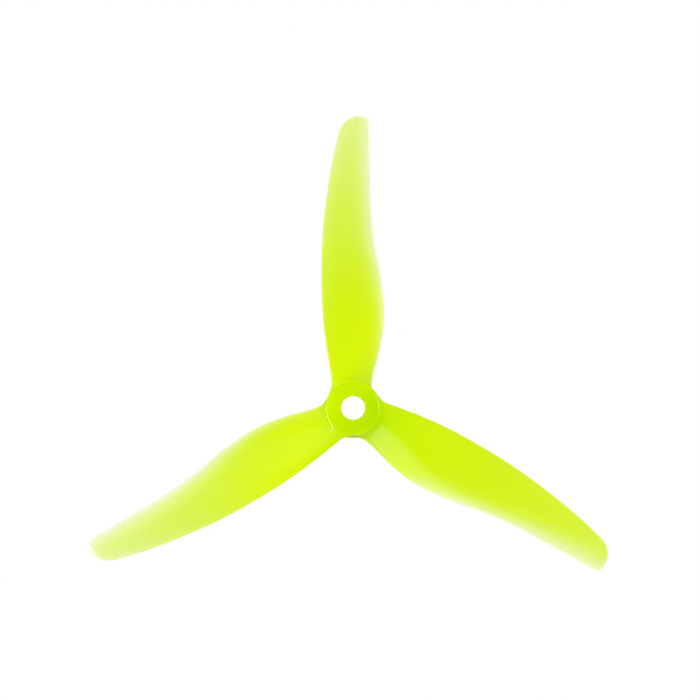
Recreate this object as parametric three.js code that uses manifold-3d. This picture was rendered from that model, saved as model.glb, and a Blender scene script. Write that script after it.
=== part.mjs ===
// Three-bladed fixed-pitch propeller for a small racing drone, in millimetres, +Z up.
// The spin axis is Z. The origin is on that axis at half the hub's height. The hub's lower face
// sits on a motor bell and its upper face takes the nut, and the propeller pushes towards +Z when
// it turns counter-clockwise as seen from above.
// The real propeller is one moulding. Here its hub and each of its blades is a solid of its own,
// and a hairline gap keeps every blade root clear of the hub wall.
import * as THREE from "three";
import { mergeVertices } from "three/addons/utils/BufferGeometryUtils.js";
import Module from "manifold-3d";

// ---- driving dimensions ----
const TIP_RADIUS = 64.55; // a 5.1 inch propeller
const BLADES = 3;
const BORE_RADIUS = 2.53; // runs on a 5 mm motor shaft
const HUB_RADIUS = 6.0;
const HUB_HEIGHT = 6.7;
const SHOULDER_RADIUS = 0.4; // round between the hub's top face and its wall
const FOOT_RADIUS = 0.3; // round between the wall and the seat face
const BORE_CHAMFER = 0.2;
const ROOT_GAP = 0.03; // hairline between a blade root and the hub wall

// Blade stations along the span. lead and trail are the edges' offsets from the blade's radial
// line in plan, pitch is the chord's angle, thick the thickest point, camber the rise of the
// section's middle as a share of the chord, and height the radial line's z.
const STATIONS = [
  { span: 2.5, lead: 4.4, trail: -3.8, pitch: 29.0, thick: 3.2, camber: 0.01, height: 0.05 },
  { span: 5.0, lead: 4.65, trail: -4.0, pitch: 30.0, thick: 2.7, camber: 0.02, height: 0.05 },
  { span: 8.0, lead: 5.2, trail: -4.4, pitch: 29.5, thick: 2.25, camber: 0.03, height: 0.1 },
  { span: 13.0, lead: 6.15, trail: -5.6, pitch: 27.5, thick: 2.0, camber: 0.045, height: 0.1 },
  { span: 20.0, lead: 7.1, trail: -6.45, pitch: 22.0, thick: 1.7, camber: 0.055, height: 0.0 },
  { span: 28.0, lead: 7.6, trail: -5.7, pitch: 17.5, thick: 1.35, camber: 0.055, height: -0.2 },
  { span: 36.0, lead: 7.65, trail: -4.0, pitch: 14.0, thick: 1.1, camber: 0.05, height: -0.4 },
  { span: 44.0, lead: 7.15, trail: -2.95, pitch: 11.5, thick: 0.95, camber: 0.05, height: -0.6 },
  { span: 54.0, lead: 5.9, trail: -2.4, pitch: 9.5, thick: 0.78, camber: 0.045, height: -0.85 },
  { span: 65.0, lead: 3.55, trail: -1.9, pitch: 8.0, thick: 0.62, camber: 0.04, height: -1.15 },
];
const COLUMNS = ["lead", "trail", "pitch", "thick", "camber", "height"];
const SWEEP_START = 60.0; // from this span out, the leading edge curves round into the tip
const CORNER_START = 62.6; // from this span out, the trailing edge and the thickness round off
const TIP_OFFSET = -0.75; // where the two edges meet, measured from the radial line
const SWEEP_POWER = 3.0;
const TRAIL_EDGE_THICK = 0.28;
const CREST = 0.38; // chord share at which a section is thickest

// ---- mesh detail ----
const HUB_SEGMENTS = 72; // a multiple of BLADES, so that every root meets the same facets
const ARC_STEPS = 5;
const SPAN_STEPS = 36;
const CHORD_STEPS = 14;

const LIME = new THREE.MeshStandardMaterial({ color: 0xd2f205, roughness: 0.22, metalness: 0 });

const wasm = await Module();
wasm.setup();

// A closed three.js geometry as a manifold-3d solid.
function toSolid(geometry) {
  const bare = geometry.clone();
  bare.deleteAttribute("normal");
  bare.deleteAttribute("uv");
  const merged = mergeVertices(bare, 1e-5);
  const vertProperties = new Float32Array(merged.attributes.position.array);
  const triVerts = new Uint32Array(merged.index.array);
  return new wasm.Manifold(new wasm.Mesh({ numProp: 3, vertProperties, triVerts }));
}

// A manifold-3d solid as a three.js geometry.
function toGeometry(solid) {
  const { vertProperties, triVerts } = solid.getMesh();
  const geometry = new THREE.BufferGeometry();
  geometry.setAttribute("position", new THREE.BufferAttribute(vertProperties, 3));
  geometry.setIndex(new THREE.BufferAttribute(triVerts, 1));
  geometry.computeVertexNormals();
  return geometry;
}

function addMesh(group, name, geometry) {
  const mesh = new THREE.Mesh(geometry, LIME);
  mesh.name = name;
  group.add(mesh);
}

// ---- hub ----

// Points on an arc from one angle to another, in the hub's (radius, z) half plane.
function arc(centreR, centreZ, radius, from, to) {
  return Array.from({ length: ARC_STEPS + 1 }, (_, i) => {
    const angle = THREE.MathUtils.degToRad(THREE.MathUtils.lerp(from, to, i / ARC_STEPS));
    return new THREE.Vector2(centreR + radius * Math.cos(angle), centreZ + radius * Math.sin(angle));
  });
}

// The hub's half section, as a loop that closes on itself round the bore.
function hubProfile() {
  const top = HUB_HEIGHT / 2;
  const seat = -top;
  const point = (r, z) => new THREE.Vector2(r, z);
  return [
    point(BORE_RADIUS + BORE_CHAMFER, seat),
    ...arc(HUB_RADIUS - FOOT_RADIUS, seat + FOOT_RADIUS, FOOT_RADIUS, -90, 0),
    ...arc(HUB_RADIUS - SHOULDER_RADIUS, top - SHOULDER_RADIUS, SHOULDER_RADIUS, 0, 90),
    point(BORE_RADIUS + BORE_CHAMFER, top),
    point(BORE_RADIUS, top - BORE_CHAMFER),
    point(BORE_RADIUS, seat + BORE_CHAMFER),
    point(BORE_RADIUS + BORE_CHAMFER, seat),
  ];
}

function hubGeometry() {
  // LatheGeometry turns about Y, so the hub is stood up onto Z.
  return new THREE.LatheGeometry(hubProfile(), HUB_SEGMENTS).rotateX(Math.PI / 2);
}

// ---- blade ----

const interpolant = new THREE.CubicInterpolant(
  STATIONS.map((station) => station.span),
  STATIONS.flatMap((station) => COLUMNS.map((column) => station[column])),
  COLUMNS.length,
);

// How much of a width is left at a span: all of it at start, none at the tip radius.
function roundOff(span, start, power) {
  const share = THREE.MathUtils.clamp((span - start) / (TIP_RADIUS - start), 0, 1);
  return Math.sqrt(1 - share ** power);
}

// The blade's plan edges, chord angle, thickness, camber and height at a span.
function stationAt(span) {
  const values = interpolant.evaluate(span);
  const station = Object.fromEntries(COLUMNS.map((column, i) => [column, values[i]]));
  const corner = roundOff(span, CORNER_START, 2);
  station.lead = THREE.MathUtils.lerp(TIP_OFFSET, station.lead, roundOff(span, SWEEP_START, SWEEP_POWER));
  station.trail = THREE.MathUtils.lerp(TIP_OFFSET, station.trail, corner);
  station.thick *= corner;
  station.edge = TRAIL_EDGE_THICK * corner;
  return station;
}

// Half a section's thickness at a chord share that is 0 at the leading edge: a round nose up to
// the crest, then a taper to a blunt trailing edge.
function halfThickness(share, thick, edge) {
  const rise = Math.min(share / CREST, 1);
  const nose = Math.sqrt(rise) * (1.5 - 0.5 * rise);
  const fall = Math.max((share - CREST) / (1 - CREST), 0) ** 1.8;
  return (nose * THREE.MathUtils.lerp(thick, edge, fall)) / 2;
}

// One ring of points round the blade at a span. x is the span and y points to the leading edge.
function ringAt(span) {
  const { lead, trail, pitch, thick, edge, camber, height } = stationAt(span);
  const tilt = THREE.MathUtils.degToRad(pitch);
  const chord = (lead - trail) / Math.cos(tilt);
  const middle = (lead + trail) / 2;
  const place = (share, side) => {
    const along = (0.5 - share) * chord;
    const across = 4 * camber * chord * share * (1 - share) + side * halfThickness(share, thick, edge);
    const y = middle + along * Math.cos(tilt) - across * Math.sin(tilt);
    const z = height + middle * Math.tan(tilt) + along * Math.sin(tilt) + across * Math.cos(tilt);
    return new THREE.Vector3(span, y, z);
  };
  const share = (i) => (1 - Math.cos((Math.PI * i) / CHORD_STEPS)) / 2;
  const upper = Array.from({ length: CHORD_STEPS + 1 }, (_, i) => place(share(i), 1));
  const lower = Array.from({ length: CHORD_STEPS }, (_, i) => place(share(CHORD_STEPS - i), -1));
  return [...upper, ...lower];
}

// Joins rings of equal length into a closed surface, with a fan over each end.
function loft(rings) {
  const size = rings[0].length;
  const centre = (ring) =>
    ring.reduce((sum, point) => sum.add(point), new THREE.Vector3()).divideScalar(size);
  const points = [...rings.flat(), centre(rings[0]), centre(rings.at(-1))];
  const [rootCentre, tipCentre] = [points.length - 2, points.length - 1];
  const lastRing = (rings.length - 1) * size;
  const index = [];
  for (let j = 0; j < size; j++) {
    const next = (j + 1) % size;
    for (let start = 0; start < lastRing; start += size) {
      const [a, b] = [start + j, start + next];
      index.push(a, b, a + size, b, b + size, a + size);
    }
    index.push(rootCentre, next, j);
    index.push(tipCentre, lastRing + j, lastRing + next);
  }
  const geometry = new THREE.BufferGeometry().setFromPoints(points);
  geometry.setIndex(index);
  return geometry;
}

// Spans from the root to just short of the tip, closer together towards the tip.
function ringSpans() {
  const root = STATIONS[0].span;
  const reach = TIP_RADIUS - root;
  const turn = Math.PI / 2 / SPAN_STEPS;
  return Array.from({ length: SPAN_STEPS }, (_, i) => root + reach * Math.sin(i * turn));
}

function bladeGeometry() {
  const radius = HUB_RADIUS + ROOT_GAP;
  const hubWall = new THREE.CylinderGeometry(radius, radius, 4 * HUB_HEIGHT, HUB_SEGMENTS);
  const blank = toSolid(loft(ringSpans().map(ringAt)));
  return toGeometry(blank.subtract(toSolid(hubWall.rotateX(Math.PI / 2))));
}

// ---- assembly ----

const propeller = new THREE.Group();
addMesh(propeller, "hub", hubGeometry());

const blade = bladeGeometry();
for (let i = 0; i < BLADES; i++) {
  const arm = new THREE.Group();
  arm.rotation.z = Math.PI / 2 + (i * 2 * Math.PI) / BLADES; // the first blade points along +Y
  addMesh(arm, `blade_${i + 1}`, blade);
  propeller.add(arm);
}

export default propeller;
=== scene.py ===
"""Looks of a three-bladed drone propeller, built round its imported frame. Blender 4.5, Z up.

The propeller is one moulding in translucent neon lime plastic. Its hub and its blades are rebuilt
here as fine meshes with moulded fillets at the blade roots. Shapes are worked out in millimetres
and stored in metres. The floor shows through the plastic where it is thin, and the dye closes it
off where it is thick.
"""
import math

import bpy
import numpy as np
from mathutils import Matrix, Vector
from mathutils.bvhtree import BVHTree


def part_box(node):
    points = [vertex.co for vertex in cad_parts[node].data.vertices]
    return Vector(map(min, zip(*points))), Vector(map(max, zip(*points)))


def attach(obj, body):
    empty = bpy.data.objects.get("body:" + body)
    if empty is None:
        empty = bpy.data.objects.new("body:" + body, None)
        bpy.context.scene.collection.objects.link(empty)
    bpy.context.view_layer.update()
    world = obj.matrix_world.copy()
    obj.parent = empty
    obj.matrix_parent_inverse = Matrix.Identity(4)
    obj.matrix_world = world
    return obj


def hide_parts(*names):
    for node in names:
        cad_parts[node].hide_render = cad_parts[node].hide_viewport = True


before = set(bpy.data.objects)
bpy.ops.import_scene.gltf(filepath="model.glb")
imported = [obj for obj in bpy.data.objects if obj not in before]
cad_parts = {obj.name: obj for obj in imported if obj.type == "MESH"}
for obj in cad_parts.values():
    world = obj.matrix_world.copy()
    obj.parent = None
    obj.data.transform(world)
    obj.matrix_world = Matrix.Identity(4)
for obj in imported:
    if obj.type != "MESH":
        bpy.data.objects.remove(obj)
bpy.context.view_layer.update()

# ---- sizes, in millimetres ----

MM = 0.001  # metres


def from_frame(node):
    """A CAD node's lowest and highest corners, in millimetres."""
    low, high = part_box(node)
    return np.array(low) / MM, np.array(high) / MM


def bore_radius():
    """The smallest distance of the CAD hub's vertices from the spin axis."""
    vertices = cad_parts["hub"].data.vertices
    return min(math.hypot(v.co.x, v.co.y) for v in vertices) / MM


HUB_LOW, HUB_HIGH = from_frame("hub")
HUB_RADIUS = HUB_HIGH[0]
HUB_TOP = HUB_HIGH[2]
HUB_SEAT = HUB_LOW[2]
BORE_RADIUS = bore_radius()
TIP_RADIUS = from_frame("blade_1")[1][1]
BLADES = 3
SHOULDER_RADIUS = 0.4  # round between the hub's top face and its wall
FOOT_RADIUS = 0.3  # round between the wall and the seat
BORE_CHAMFER = 0.2
ROOT_BLEND = 1.3  # reach of the fillet between a blade and the hub
BLEND_FADE = (0.9, 0.1)  # the fillet fades in between these distances inside the hub's wall
MOST_GROWTH = 0.3 * ROOT_BLEND  # most that the fillet may stand proud of either surface

# The blade's stations along the span, as in the CAD model: the edges' offsets from the radial line,
# the chord's angle in degrees, the thickest point, the camber as a share of the chord, the height.
SPAN = np.array([2.5, 5.0, 8.0, 13.0, 20.0, 28.0, 36.0, 44.0, 54.0, 65.0])
STATIONS = {
    "lead": np.array([4.4, 4.65, 5.2, 6.15, 7.1, 7.6, 7.65, 7.15, 5.9, 3.55]),
    "trail": np.array([-3.8, -4.0, -4.4, -5.6, -6.45, -5.7, -4.0, -2.95, -2.4, -1.9]),
    "pitch": np.array([29.0, 30.0, 29.5, 27.5, 22.0, 17.5, 14.0, 11.5, 9.5, 8.0]),
    "thick": np.array([3.2, 2.7, 2.25, 2.0, 1.7, 1.35, 1.1, 0.95, 0.78, 0.62]),
    "camber": np.array([0.01, 0.02, 0.03, 0.045, 0.055, 0.055, 0.05, 0.05, 0.045, 0.04]),
    "height": np.array([0.05, 0.05, 0.1, 0.1, 0.0, -0.2, -0.4, -0.6, -0.85, -1.15]),
}
SWEEP_START = 60.0  # from this span out, the leading edge curves round into the tip
SWEEP_POWER = 3.0
CORNER_START = 62.6  # from this span out, the trailing edge and the thickness round off
TIP_OFFSET = -0.75  # where the two edges meet, measured from the radial line
TRAIL_EDGE_THICK = 0.28
CREST = 0.38  # chord share at which a section is thickest
TAPER_POWER = 1.8  # above 1, so that a section stays full behind its crest
NOSE_THINNING = 0.4  # how much of the nose's thinning shows in how the plastic lets light through

# ---- mesh detail, with distances in millimetres ----

CHORD_STEPS = 56
ROOT_RINGS = 34
ROOT_RING_SPAN = (-0.5, 2.2)  # where a blade's first, closest rings lie, from the hub's wall
SPAN_RINGS = 110
TIP_GAPS = np.array([0.004, 0.001, 0.0001])  # distances of a blade's last rings from its tip
ROUND_RING_SPAN = (3.0, 16.0)  # where rings turn from round to straight, from the hub's wall
RING_PASSES = 12  # passes that settle where a round ring's points lie
TREE_RINGS = 80
TREE_START = 3.2  # the span at which the blades in the search tree start, inside the hub
TREE_REACH = 4.0  # how far past the hub's wall they run
HUB_SEGMENTS = 360
FACE_OVERRUN = 0.02  # how far over the bore's chamfer the flat faces' points are spaced out
HALVINGS = 22  # steps of the search for how far the fillet stands proud


def smoothstep(low, high, x):
    """0 up to low, 1 from high on, and a smooth step between them."""
    share = np.clip((x - low) / (high - low), 0, 1)
    return share * share * (3 - 2 * share)


# ---- the blade's surface ----


def through(knots, values, x):
    """A smooth cubic through the knots. A knot's slope is the mean of the two slopes beside it."""
    secants = np.diff(values) / np.diff(knots)
    slopes = np.concatenate([secants[:1], (secants[:-1] + secants[1:]) / 2, secants[-1:]])
    i = np.clip(np.searchsorted(knots, x, side="right") - 1, 0, len(knots) - 2)
    step = knots[i + 1] - knots[i]
    p = (x - knots[i]) / step
    rise = values[i + 1] - values[i]
    start = p * (1 - p) ** 2 * slopes[i] * step
    end = p * p * (p - 1) * slopes[i + 1] * step
    return values[i] + rise * p * p * (3 - 2 * p) + start + end


def round_off(x, start, end, power=2.0):
    """How much of a width is left at x: all of it up to start, none at end."""
    share = np.clip((x - start) / (end - start), 0, 1)
    return np.sqrt(1 - share**power)


def blade_points(span, share, side):
    """Points on the blade at a span and a chord share from the leading edge, on its upper (side 1)
    or lower (side -1) face. Returns them in millimetres with how much plastic light crosses there:
    the thickness, but less thinned at the nose, where light is bent along the chord. The blade
    points along X, and its leading edge faces Y."""
    at = {name: through(SPAN, values, span) for name, values in STATIONS.items()}
    corner = round_off(span, CORNER_START, TIP_RADIUS)
    sweep = round_off(span, SWEEP_START, TIP_RADIUS, SWEEP_POWER)
    lead = TIP_OFFSET + (at["lead"] - TIP_OFFSET) * sweep
    trail = TIP_OFFSET + (at["trail"] - TIP_OFFSET) * corner
    tilt = np.radians(at["pitch"])
    chord = (lead - trail) / np.cos(tilt)
    middle = (lead + trail) / 2
    rise = np.minimum(share / CREST, 1)
    nose = np.sqrt(rise) * (1.5 - 0.5 * rise)
    fall = np.maximum((share - CREST) / (1 - CREST), 0) ** TAPER_POWER
    thick = nose * corner * (at["thick"] * (1 - fall) + TRAIL_EDGE_THICK * fall)
    edge_share = np.clip(TRAIL_EDGE_THICK / 2 / np.maximum(chord, 1e-3), 0, 0.5)
    thick = thick * round_off(share, 1 - edge_share, 1)
    along = (0.5 - share) * chord
    across = 4 * at["camber"] * chord * share * (1 - share) + side * thick / 2
    y = middle + along * np.cos(tilt) - across * np.sin(tilt)
    z = at["height"] + middle * np.tan(tilt) + along * np.sin(tilt) + across * np.cos(tilt)
    crossed = thick / nose.clip(0.01) * (1 - NOSE_THINNING + NOSE_THINNING * nose)
    return np.stack(np.broadcast_arrays(span, y, z), axis=-1), crossed


def round_the_section():
    """Chord shares and sides of the points in a ring: back along the upper face and forward again
    along the lower one, closer together at both edges."""
    steps = np.arange(CHORD_STEPS + 1)
    shares = (1 - np.cos(np.pi * steps / CHORD_STEPS)) / 2
    share = np.concatenate([shares, shares[-2:0:-1]])[None, :]
    side = np.concatenate([np.ones(CHORD_STEPS + 1), -np.ones(CHORD_STEPS - 1)])[None, :]
    return share, side


def blade_grid(radii):
    """Rings of points round the blade. Near the hub a ring keeps one distance from the spin axis,
    so that it follows the hub's wall, and further out it keeps one span."""
    share, side = round_the_section()
    radius = radii[:, None]
    round_end, straight_start = (HUB_RADIUS + distance for distance in ROUND_RING_SPAN)
    round_share = 1 - smoothstep(round_end, straight_start, radius)
    span = np.broadcast_to(radius, (len(radii), share.shape[1]))
    for _ in range(RING_PASSES):
        points, crossed = blade_points(span, share, side)
        span = np.sqrt(np.maximum(radius**2 - round_share * points[..., 1] ** 2, 1.0))
    return points, crossed


def outward_normals(points):
    """Unit normals of a grid of rings that close on themselves, pointing out of the blade."""
    round_ring = np.roll(points, -1, axis=1) - np.roll(points, 1, axis=1)
    along = np.gradient(points, axis=0)
    normals = np.cross(round_ring, along)
    return normals / np.maximum(np.linalg.norm(normals, axis=-1, keepdims=True), 1e-12)


# ---- the fillet between hub and blade ----


def hub_distance(points):
    """Signed distance from the hub's outside, taken as a rounded disc."""
    radius = np.hypot(points[..., 0], points[..., 1])
    half = (HUB_TOP - HUB_SEAT) / 2
    middle = (HUB_TOP + HUB_SEAT) / 2
    out = radius - (HUB_RADIUS - SHOULDER_RADIUS)
    up = np.abs(points[..., 2] - middle) - (half - SHOULDER_RADIUS)
    outside = np.hypot(np.maximum(out, 0), np.maximum(up, 0))
    return outside + np.minimum(np.maximum(out, up), 0) - SHOULDER_RADIUS


def blend_reach(points):
    """The fillet's reach at a point. It dies out over the hub's flat faces."""
    radius = np.hypot(points[..., 0], points[..., 1])
    none, full = (HUB_RADIUS - distance for distance in BLEND_FADE)
    return ROOT_BLEND * smoothstep(none, full, radius)


def joined(hub, blade, reach):
    """Distance from the hub and the blade together, with a fillet of that reach between them."""
    reach = np.maximum(reach, 1e-6)
    overlap = np.maximum(reach - np.abs(hub - blade), 0)
    return np.minimum(hub, blade) - overlap * overlap / (4 * reach)


def grow(points, normals, distance):
    """Moves each point outwards along its normal until it reaches the joined surface, and also
    returns how far each went. distance takes the moved points and how far they have moved."""
    low = np.zeros(points.shape[:-1])
    high = np.full(points.shape[:-1], MOST_GROWTH)
    for _ in range(HALVINGS):
        middle = (low + high) / 2
        inside = distance(points + middle[..., None] * normals, middle) < 0
        low = np.where(inside, middle, low)
        high = np.where(inside, high, middle)
    return points + low[..., None] * normals, low


# ---- meshes ----


def new_mesh(name, vertices, faces, attributes):
    """A smooth-shaded object from points in millimetres, with per-point numbers as attributes."""
    mesh = bpy.data.meshes.new(name)
    mesh.from_pydata((np.asarray(vertices) * MM).tolist(), [], faces)
    for key, values in attributes.items():
        layer = mesh.attributes.new(key, "FLOAT", "POINT")
        layer.data.foreach_set("value", np.asarray(values, np.float32))
    mesh.validate()
    mesh.polygons.foreach_set("use_smooth", [True] * len(mesh.polygons))
    mesh.update()
    thing = bpy.data.objects.new(name, mesh)
    bpy.context.scene.collection.objects.link(thing)
    return thing


def join_rows(faces, row, next_row, columns):
    """Adds the quads between two rows of points that close on themselves. A row is given by the
    index of its first point."""
    for j in range(columns):
        k = (j + 1) % columns
        faces.append((row + j, row + k, next_row + k, next_row + j))


def grid_faces(rows, columns):
    """Quads of a grid whose rows close on themselves."""
    faces = []
    for i in range(rows - 1):
        join_rows(faces, i * columns, (i + 1) * columns, columns)
    return faces


def cap(faces, start, columns, centre, flip):
    """Adds a fan of triangles over a ring."""
    for j in range(columns):
        a, b = start + j, start + (j + 1) % columns
        faces.append((centre, b, a) if flip else (centre, a, b))


def closed_grid(points):
    """Vertices and faces of a grid of rings with both ends capped."""
    rows, columns = points.shape[:2]
    vertices = np.concatenate([points.reshape(-1, 3), [points[0].mean(0)], [points[-1].mean(0)]])
    faces = grid_faces(rows, columns)
    cap(faces, 0, columns, rows * columns, flip=True)
    cap(faces, (rows - 1) * columns, columns, rows * columns + 1, flip=False)
    return vertices, faces


def turned(points, angle):
    """Points turned about the spin axis."""
    c, s = math.cos(angle), math.sin(angle)
    return points @ np.array([[c, s, 0], [-s, c, 0], [0, 0, 1]])


def blade_angle(i):
    """The angle from X that a blade points along. The first blade points along Y."""
    return math.pi / 2 + i * 2 * math.pi / BLADES


def blade_shell():
    """One blade, filleted to the hub and pointing along X: its grid of points, and how much plastic
    light crosses at each."""
    first, last = ROOT_RING_SPAN
    near = HUB_RADIUS + np.linspace(first, last, ROOT_RINGS)
    steps = np.arange(1, SPAN_RINGS)
    far = near[-1] + (TIP_RADIUS - near[-1]) * np.sin(steps / SPAN_RINGS * np.pi / 2)
    points, crossed = blade_grid(np.concatenate([near, far, TIP_RADIUS - TIP_GAPS]))

    def filleted(moved_points, moved):
        return joined(hub_distance(moved_points), moved, blend_reach(moved_points))

    grown, moved = grow(points, outward_normals(points), filleted)
    return grown, crossed + 2 * moved


def build_blades():
    """The blades, each with its thickness as light crosses it stored at every point."""
    grown, thick = blade_shell()
    vertices, faces = closed_grid(grown)
    thickness = np.concatenate([thick.ravel(), [thick[0].mean()], [thick[-1].mean()]])
    blades = []
    for i in range(BLADES):
        shape = turned(vertices, blade_angle(i))
        blades.append(new_mesh(f"blade_{i + 1}_skin", shape, faces, {"thickness": thickness}))
    return blades


def root_tree():
    """A search tree over the roots of the plain blades, which run on into the hub."""
    share, side = round_the_section()
    radii = np.linspace(TREE_START, HUB_RADIUS + TREE_REACH, TREE_RINGS)
    span = np.broadcast_to(radii[:, None], (len(radii), share.shape[1]))
    points, _ = blade_points(span, share, side)
    vertices, faces = closed_grid(points)
    every, polygons = [], []
    for i in range(BLADES):
        polygons += [tuple(v + i * len(vertices) for v in face) for face in faces]
        every.append(turned(vertices, blade_angle(i)))
    return BVHTree.FromPolygons(np.concatenate(every).tolist(), polygons)


def tree_distance(tree, points):
    """Signed distance of each point from the closed surface in the tree. A point deeper inside than
    the fillet reaches counts as outside, since it is hidden in the blade."""
    flat = points.reshape(-1, 3)
    distances = np.empty(len(flat))
    for i, point in enumerate(flat):
        place, normal, _, distance = tree.find_nearest(point)
        inside = distance < ROOT_BLEND and (Vector(point) - place).dot(normal) < 0
        distances[i] = -distance if inside else distance
    return distances.reshape(points.shape[:-1])


def arc(centre_r, centre_z, radius, start, end, steps):
    """Points of a circular arc in the hub's (radius, z) half plane, with their outward normals."""
    angles = np.radians(np.linspace(start, end, steps))
    normals = np.stack([np.cos(angles), np.sin(angles)], axis=-1)
    return np.array([centre_r, centre_z]) + radius * normals, normals


def line(start, end, steps, normal):
    """Evenly spaced points on a line of the half section, ends left out, with their normal."""
    share = np.linspace(0, 1, steps + 2)[1:-1, None]
    points = np.array(start) * (1 - share) + np.array(end) * share
    return points, np.broadcast_to(np.array(normal, float), points.shape)


def hub_section():
    """The hub's half section as points with normals, from the bore's foot outwards and round. The
    points are closest together on the wall and its rounds, where the fillets are drawn out."""
    r, top, seat = HUB_RADIUS, HUB_TOP, HUB_SEAT
    mouth = BORE_RADIUS + BORE_CHAMFER
    face_start = mouth - FACE_OVERRUN
    foot, shoulder = FOOT_RADIUS, SHOULDER_RADIUS
    slope = math.sqrt(0.5)
    pieces = [
        line((face_start, seat), (r - foot, seat), 24, (0, -1)),
        arc(r - foot, seat + foot, foot, -90, 0, 9),
        line((r, seat + foot), (r, top - shoulder), 90, (1, 0)),
        arc(r - shoulder, top - shoulder, shoulder, 0, 90, 13),
        line((r - shoulder, top), (face_start, top), 60, (0, 1)),
        line((mouth, top), (BORE_RADIUS, top - BORE_CHAMFER), 5, (-slope, slope)),
        line((BORE_RADIUS, top - BORE_CHAMFER), (BORE_RADIUS, seat + BORE_CHAMFER), 30, (-1, 0)),
        line((BORE_RADIUS, seat + BORE_CHAMFER), (mouth, seat), 5, (-slope, -slope)),
    ]
    return np.concatenate([p for p, _ in pieces]), np.concatenate([n for _, n in pieces])


def spun(pairs):
    """(radius, z) pairs turned about the spin axis into rows of points, one row for each pair."""
    angles = np.arange(HUB_SEGMENTS) / HUB_SEGMENTS * 2 * math.pi
    ray = np.stack([np.cos(angles), np.sin(angles)], axis=-1)
    flat = ray[None, :, :] * pairs[:, None, :1]
    height = np.broadcast_to(pairs[:, None, 1:], flat.shape[:2] + (1,))
    return np.concatenate([flat, height], axis=-1)


def build_hub():
    """The hub with the blades' fillets drawn out of its wall."""
    section, section_normals = hub_section()
    points, normals = spun(section), spun(section_normals)
    tree = root_tree()

    def filleted(moved_points, moved):
        return joined(moved, tree_distance(tree, moved_points), blend_reach(moved_points))

    near = blend_reach(points) > 0
    points[near], _ = grow(points[near], normals[near], filleted)
    rows, columns = points.shape[:2]
    faces = grid_faces(rows, columns)
    join_rows(faces, (rows - 1) * columns, 0, columns)
    full = np.full(rows * columns, HUB_TOP - HUB_SEAT)
    radius = np.hypot(points[..., 0], points[..., 1]).ravel()
    # the bore's wall, where the painted reflection goes
    bore = (radius < BORE_RADIUS + BORE_CHAMFER / 2).astype(float)
    return new_mesh("hub_skin", points.reshape(-1, 3), faces, {"thickness": full, "bore": bore})


# ---- shader nodes ----


class Nodes:
    """A short way to write a node tree."""

    def __init__(self, tree):
        self.tree = tree
        tree.nodes.clear()

    def add(self, kind, **settings):
        node = self.tree.nodes.new(kind)
        for key, value in settings.items():
            setattr(node, key, value)
        return node

    def link(self, output, socket):
        self.tree.links.new(output, socket)

    def fill(self, socket, value):
        if isinstance(value, bpy.types.NodeSocket):
            self.link(value, socket)
        else:
            socket.default_value = value

    def math(self, operation, *values, clamp=False):
        node = self.add("ShaderNodeMath", operation=operation, use_clamp=clamp)
        for socket, value in zip(node.inputs, values):
            self.fill(socket, value)
        return node.outputs[0]

    def vector(self, operation, *values):
        node = self.add("ShaderNodeVectorMath", operation=operation)
        for socket, value in zip(node.inputs, values):
            self.fill(socket, value)
        return node

    def attribute(self, name):
        """A number that the mesh holds for each of its points."""
        return self.add("ShaderNodeAttribute", attribute_name=name).outputs["Fac"]

    def ramp(self, value, start, end, low, high):
        """A smooth step from low, where value is start or less, to high, where it is end or more."""
        node = self.add("ShaderNodeMapRange", interpolation_type="SMOOTHSTEP")
        self.link(value, node.inputs["Value"])
        node.inputs["From Min"].default_value = start
        node.inputs["From Max"].default_value = end
        node.inputs["To Min"].default_value = low
        node.inputs["To Max"].default_value = high
        return node.outputs[0]

    def noise(self, place, scale, detail):
        """Grey noise at a scale in features per metre."""
        node = self.add("ShaderNodeTexNoise")
        node.inputs["Scale"].default_value = scale
        node.inputs["Detail"].default_value = detail
        self.link(place, node.inputs["Vector"])
        return node.outputs["Fac"]

    def facing(self, geometry):
        """1 where the surface is seen square on, 0 where it is seen edge on."""
        dot = self.vector("DOT_PRODUCT", geometry.outputs["Incoming"], geometry.outputs["Normal"])
        return self.math("ABSOLUTE", dot.outputs["Value"])

    def mixed(self, share, first, second):
        """The first shader with a share of the second in its place."""
        node = self.add("ShaderNodeMixShader")
        self.fill(node.inputs["Fac"], share)
        self.link(first, node.inputs[1])
        self.link(second, node.inputs[2])
        return node.outputs[0]


# ---- the plastic ----

DYE_PER_MM = 2.9  # how fast the dye closes off what is behind it
DYE_POWER = 1.4  # above 1, as light scattered in thick plastic travels further than its thickness
LEAST_FACING = 0.35  # a surface seen more edge on counts as this, so that edges don't turn solid
THIN_COLOR = (0.74, 0.945, 0.001, 1)
DEEP_COLOR = (0.605, 0.85, 0.0, 1)  # light that has been through more dye is greener
DEEPENING = 1.5  # millimetres over which the colour deepens
HUB_PAINTED_LIGHT = (0.09, 0.05, 0.0)  # painted light: how much paler than the mean the hub is painted on its side towards the lamps; its other side is painted darker
# painted light: the direction, towards the upper left, of the hub's painted lit side
HUB_PAINTED_LIGHT_DIRECTION = Vector((-0.87, 0.5, 0.0))
HUB_PAINTED_LIGHT_WIDTH = 0.0055  # metres from the axis to where the painted light and shade are strongest
IOR = 1.58  # polycarbonate
ROUGHNESS = 0.1  # where the mould was polished best
ROUGHNESS_SPREAD = 0.06
POLISH_SCALE = 260.0  # patches of polish per metre
RIPPLE_SCALE = 900.0  # ripples of the moulded surface per metre
RIPPLE_DEPTH = 0.00005  # metres
RIPPLE_STRENGTH = 0.15
SCATTER = (0.0032, 0.0036, 0.0002)  # metres that red, green and blue light travel inside
SCATTER_START = 0.9  # millimetres; thinner plastic doesn't scatter light sideways
SCATTER_FULL = 2.8  # millimetres; from here on it scatters the most
MOST_SCATTER = 0.9
GLOW = 0.25  # share of the plastic that shows the light from its far side
PAINTED_GLARE_FACING = (0.15, 0.45)  # painted reflection: the bore's wall turns from glowing white to lime between these


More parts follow.
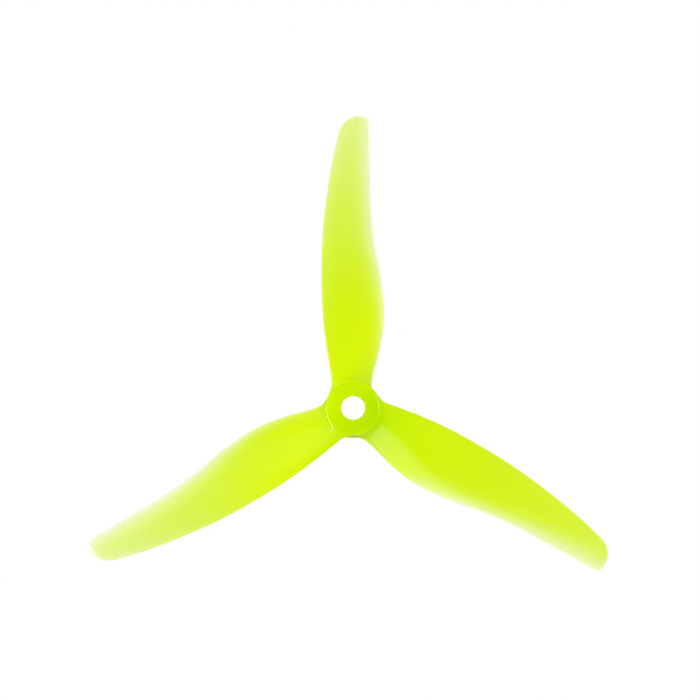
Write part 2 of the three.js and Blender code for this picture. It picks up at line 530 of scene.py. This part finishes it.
def solid_share(nodes, geometry):
    """How much of the light behind a point the plastic stops, seen from the front of a surface."""
    slant = nodes.math("MAXIMUM", nodes.facing(geometry), LEAST_FACING)
    path = nodes.math("DIVIDE", nodes.attribute("thickness"), slant)
    depth = nodes.math("MULTIPLY", nodes.math("POWER", path, DYE_POWER), -DYE_PER_MM)
    stopped = nodes.math("SUBTRACT", 1.0, nodes.math("EXPONENT", depth))
    front = nodes.math("SUBTRACT", 1.0, geometry.outputs["Backfacing"])
    return nodes.math("MULTIPLY", stopped, front, clamp=True)


def painted_side_light(nodes, place):
    """A colour to multiply by, painted light and shade: above 1 on the hub's side towards the lamps,
    below 1 on its other side, and 1 over the blades."""
    along = nodes.vector("DOT_PRODUCT", place, HUB_PAINTED_LIGHT_DIRECTION).outputs["Value"]
    widths = nodes.math("DIVIDE", along, HUB_PAINTED_LIGHT_WIDTH)
    squared = nodes.math("MULTIPLY", widths, widths)
    fade = nodes.math("EXPONENT", nodes.math("MULTIPLY_ADD", squared, -0.5, 0.5))
    # painted light and shade across the hub
    painted_light = nodes.vector("SCALE", HUB_PAINTED_LIGHT)
    nodes.link(nodes.math("MULTIPLY", widths, fade), painted_light.inputs["Scale"])
    return nodes.vector("ADD", painted_light.outputs[0], (1, 1, 1)).outputs[0]


def dye_color_and_painted_light(nodes, place):
    """The plastic's own colour, deeper where it is thicker, times painted light and shade: paler on
    the hub's side towards the lamps, darker on its other side.
    """
    thin = nodes.math("EXPONENT", nodes.math("DIVIDE", nodes.attribute("thickness"), -DEEPENING))
    mix = nodes.add("ShaderNodeMix", data_type="RGBA")
    nodes.link(thin, mix.inputs["Factor"])
    mix.inputs["A"].default_value = DEEP_COLOR
    mix.inputs["B"].default_value = THIN_COLOR
    # the thickness colour times the hub's painted light and shade
    return nodes.vector("MULTIPLY", mix.outputs["Result"], painted_side_light(nodes, place)).outputs[0]


def ripples(nodes, place):
    """Normals of a moulded surface that isn't perfectly smooth."""
    bump = nodes.add("ShaderNodeBump")
    bump.inputs["Strength"].default_value = RIPPLE_STRENGTH
    bump.inputs["Distance"].default_value = RIPPLE_DEPTH
    nodes.link(nodes.noise(place, RIPPLE_SCALE, 2.0), bump.inputs["Height"])
    return bump.outputs["Normal"]


def glossy_body(nodes, place, color):
    """Glossy dyed plastic that scatters light sideways where it is thick."""
    body = nodes.add("ShaderNodeBsdfPrincipled")
    nodes.link(color, body.inputs["Base Color"])
    polish = nodes.noise(place, POLISH_SCALE, 3.0)
    roughness = nodes.math("MULTIPLY_ADD", polish, ROUGHNESS_SPREAD, ROUGHNESS)
    nodes.link(roughness, body.inputs["Roughness"])
    body.inputs["IOR"].default_value = IOR
    thickness = nodes.attribute("thickness")
    scatter = nodes.ramp(thickness, SCATTER_START, SCATTER_FULL, 0.0, MOST_SCATTER)
    nodes.link(scatter, body.inputs["Subsurface Weight"])
    body.inputs["Subsurface Radius"].default_value = SCATTER
    body.inputs["Subsurface Scale"].default_value = 1.0
    nodes.link(ripples(nodes, place), body.inputs["Normal"])
    return body.outputs[0]


def with_painted_glare(nodes, geometry, body):
    """Adds a painted reflection of the white floor on the bore's smooth wall, seen along the bore: a
    white emission, not a mirror image.
    """
    grazing = nodes.ramp(nodes.facing(geometry), *PAINTED_GLARE_FACING, 1.0, 0.0)
    share = nodes.math("MULTIPLY", nodes.attribute("bore"), grazing)
    # painted reflection: white emission over the bore's wall where it is seen edge on
    return nodes.mixed(share, body, nodes.add("ShaderNodeEmission").outputs[0])


def make_plastic():
    """Translucent neon lime plastic, glossy as moulded."""
    material = bpy.data.materials.new("lime_plastic")
    material.use_nodes = True
    nodes = Nodes(material.node_tree)
    geometry = nodes.add("ShaderNodeNewGeometry")
    place = geometry.outputs["Position"]
    color = dye_color_and_painted_light(nodes, place)
    glow = nodes.add("ShaderNodeBsdfTranslucent")
    nodes.link(color, glow.inputs["Color"])
    body = nodes.mixed(GLOW, glossy_body(nodes, place, color), glow.outputs[0])
    clear = nodes.add("ShaderNodeBsdfTransparent").outputs[0]
    surface = nodes.mixed(solid_share(nodes, geometry), clear, with_painted_glare(nodes, geometry, body))
    out = nodes.add("ShaderNodeOutputMaterial")
    nodes.link(surface, out.inputs["Surface"])
    return material


# ---- stage, in metres and degrees, with azimuths from +X ----

FLOOR_HALF = 1.5
FLOOR_DROP = 0.008  # from the hub's seat down to the floor
FLOOR_BOUNCE = 1.06  # the floor's brightness as it lights the plastic from below
FLOOR_SHINE = 0.25  # the floor's brightness in the plastic's shine
SHADOW_COLOR = (0.74, 0.94, 0.02)  # painted light: the floor in full shadow glows this lime, standing in for light come through the plastic
SHADE_WHITE = 0.3  # how much of the shade lamp's light the floor sends back
BACKDROP = (0.8, 0.8, 0.8, 1)  # the backdrop's grey, which the brightnesses below multiply
SKY = 1.24  # brightness of the even sky
HORIZON = 0.3  # brightness of the horizon in the plastic's shine
HORIZON_TOP = 0.35  # sine of the elevation at which the horizon's brightness has died out
SOFTBOXES = (  # direction and brightness of the softboxes that the blades mirror, and the cosine
    # of the angle from its middle at which each ends
    (Vector((-0.35, 0.6, 0.72)).normalized(), 0.5, 0.85),
    (Vector((-0.49, -0.85, 0.2)).normalized(), 1.8, 0.9),
    (Vector((-1.0, 0.0, 1.0)).normalized(), 2.0, 0.93),
)
SOFTBOX_FULL = 0.97  # the cosine of the angle within which they have their full brightness
CAMERA_LEAN = 6.4  # from straight above
CAMERA_TOWARDS = -112.0  # the azimuth that it leans towards
CAMERA_ROLL = 1.55
CAMERA_DISTANCE = 1.3
FRAME_WIDTH = 0.1519  # across the frame, at the propeller
AIM_RIGHT = -0.00053  # from the origin to the middle of the frame
AIM_UP = 0.01285


def floor_strength(nodes, path):
    """The floor's brightness: 1 to the camera, with values of its own for diffuse and glossy
    rays."""
    shine = nodes.math("MULTIPLY", path.outputs["Is Glossy Ray"], 1 - FLOOR_SHINE)
    bounce = nodes.math("MULTIPLY", path.outputs["Is Diffuse Ray"], FLOOR_BOUNCE - 1)
    return nodes.math("ADD", nodes.math("SUBTRACT", 1.0, shine), bounce)


def shadowed_floor(nodes):
    """The floor below the propeller: a painted lime glow in full shadow, white where the shade lamp
    reaches it.
    """
    # painted light: a lime glow in place of light passed through the plastic
    painted_glow = nodes.add("ShaderNodeEmission")
    painted_glow.inputs["Color"].default_value = (*SHADOW_COLOR, 1)
    lit = nodes.add("ShaderNodeBsdfDiffuse")
    lit.inputs["Color"].default_value = (*[SHADE_WHITE * (1 - c) for c in SHADOW_COLOR], 1)
    both = nodes.add("ShaderNodeAddShader")
    nodes.link(painted_glow.outputs[0], both.inputs[0])
    nodes.link(lit.outputs[0], both.inputs[1])
    return both.outputs[0]


def floor_white():
    """An even white, but where the camera sees it through the plastic it carries the propeller's
    soft shadow from the shade lamp, painted lime where the lamp doesn't reach."""
    material = bpy.data.materials.new("floor_white")
    material.use_nodes = True
    nodes = Nodes(material.node_tree)
    path = nodes.add("ShaderNodeLightPath")
    behind = nodes.math("GREATER_THAN", path.outputs["Transparent Depth"], 0.5)
    behind = nodes.math("MULTIPLY", path.outputs["Is Camera Ray"], behind)
    even = nodes.add("ShaderNodeEmission")
    nodes.link(floor_strength(nodes, path), even.inputs["Strength"])
    out = nodes.add("ShaderNodeOutputMaterial")
    surface = nodes.mixed(behind, even.outputs[0], shadowed_floor(nodes))
    nodes.link(surface, out.inputs["Surface"])
    return material


def make_floor():
    """A large plain floor, a little way below the propeller."""
    half = FLOOR_HALF
    z = HUB_SEAT * MM - FLOOR_DROP
    mesh = bpy.data.meshes.new("floor")
    corners = [(-half, -half, z), (half, -half, z), (half, half, z), (-half, half, z)]
    mesh.from_pydata(corners, [], [(0, 1, 2, 3)])
    mesh.materials.append(floor_white())
    floor = bpy.data.objects.new("floor", mesh)
    bpy.context.scene.collection.objects.link(floor)
    return floor


def make_world():
    """A pale grey backdrop to the camera, and an even sky for the plastic's own colour. In the
    plastic's shine it is a dark dome with a pale horizon and softboxes, so that the hub's flat
    face isn't washed out."""
    world = bpy.data.worlds.new("studio")
    bpy.context.scene.world = world
    world.use_nodes = True
    nodes = Nodes(world.node_tree)
    path = nodes.add("ShaderNodeLightPath")
    direction = nodes.add("ShaderNodeTexCoord").outputs["Generated"]
    split = nodes.add("ShaderNodeSeparateXYZ")
    nodes.link(direction, split.inputs[0])
    mirrored = nodes.ramp(split.outputs["Z"], 0.0, HORIZON_TOP, HORIZON, 0.0)
    for towards, brightness, end in SOFTBOXES:
        near = nodes.vector("DOT_PRODUCT", direction, towards).outputs["Value"]
        softbox = nodes.ramp(near, end, SOFTBOX_FULL, 0.0, brightness)
        mirrored = nodes.math("ADD", mirrored, softbox)
    shine = nodes.math("MULTIPLY", path.outputs["Is Glossy Ray"], mirrored)
    sky = nodes.math("MULTIPLY", path.outputs["Is Diffuse Ray"], SKY)
    strength = nodes.math("ADD", path.outputs["Is Camera Ray"], nodes.math("ADD", shine, sky))
    background = nodes.add("ShaderNodeBackground")
    background.inputs["Color"].default_value = BACKDROP
    nodes.link(strength, background.inputs["Strength"])
    out = nodes.add("ShaderNodeOutputWorld")
    nodes.link(background.outputs[0], out.inputs["Surface"])


def make_lamp(name, azimuth, elevation, distance, size, radiance):
    """A soft lamp that faces the propeller. It lights without being seen or mirrored."""
    azimuth, elevation = math.radians(azimuth), math.radians(elevation)
    flat = math.cos(elevation)
    towards = Vector((flat * math.cos(azimuth), flat * math.sin(azimuth), math.sin(elevation)))
    lamp = bpy.data.lights.new(name, "AREA")
    lamp.shape = "RECTANGLE"
    lamp.size, lamp.size_y = size
    lamp.energy = radiance * math.pi * size[0] * size[1]
    thing = bpy.data.objects.new(name, lamp)
    thing.location = towards * distance
    thing.rotation_euler = towards.to_track_quat("Z", "Y").to_euler()
    thing.visible_camera = False
    thing.visible_glossy = False
    bpy.context.scene.collection.objects.link(thing)
    return thing


def make_lamps(floor):
    """A soft key on the left, a low strip that only shows in the plastic's shine, and a lamp that
    only lights the floor and so casts the shadow seen through the plastic."""
    make_lamp("key", 180, 40, distance=0.8, size=(0.4, 0.4), radiance=0.8)
    strip = make_lamp("left_strip", 198, 11, distance=0.8, size=(0.3, 0.05), radiance=60.0)
    strip.visible_glossy = True
    strip.visible_diffuse = False
    shade = make_lamp("shade", 172, 35, distance=0.5, size=(0.1, 0.06), radiance=722.0)
    only_floor = bpy.data.collections.new("shade_receivers")
    only_floor.objects.link(floor)
    shade.light_linking.receiver_collection = only_floor


def make_camera():
    """A long lens, almost straight above, leaning a little to the front and left."""
    lean = math.radians(CAMERA_LEAN)
    towards = math.radians(CAMERA_TOWARDS)
    roll = math.radians(CAMERA_ROLL)
    flat = math.sin(lean)
    back = Vector((flat * math.cos(towards), flat * math.sin(towards), math.cos(lean)))
    up = Vector((-math.sin(roll), math.cos(roll), 0))
    up = (up - back * up.dot(back)).normalized()
    right = up.cross(back)
    aim = right * AIM_RIGHT + up * AIM_UP
    camera = bpy.data.cameras.new("camera")
    camera.lens = camera.sensor_width * CAMERA_DISTANCE / FRAME_WIDTH
    camera.clip_start = 0.01
    thing = bpy.data.objects.new("camera", camera)
    axes = Matrix((right, up, back)).transposed().to_4x4()
    thing.matrix_world = Matrix.Translation(aim + back * CAMERA_DISTANCE) @ axes
    bpy.context.scene.collection.objects.link(thing)
    bpy.context.scene.camera = thing


# ---- assembly ----

plastic = make_plastic()
skins = build_blades()
for number, blade in enumerate(skins, 1):
    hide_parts(f"blade_{number}")
hub = build_hub()
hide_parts("hub")
for piece in [hub, *skins]:
    piece.data.materials.append(plastic)
    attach(piece, "root")

make_lamps(make_floor())
make_world()
make_camera()
bpy.context.scene.view_settings.view_transform = "Standard"
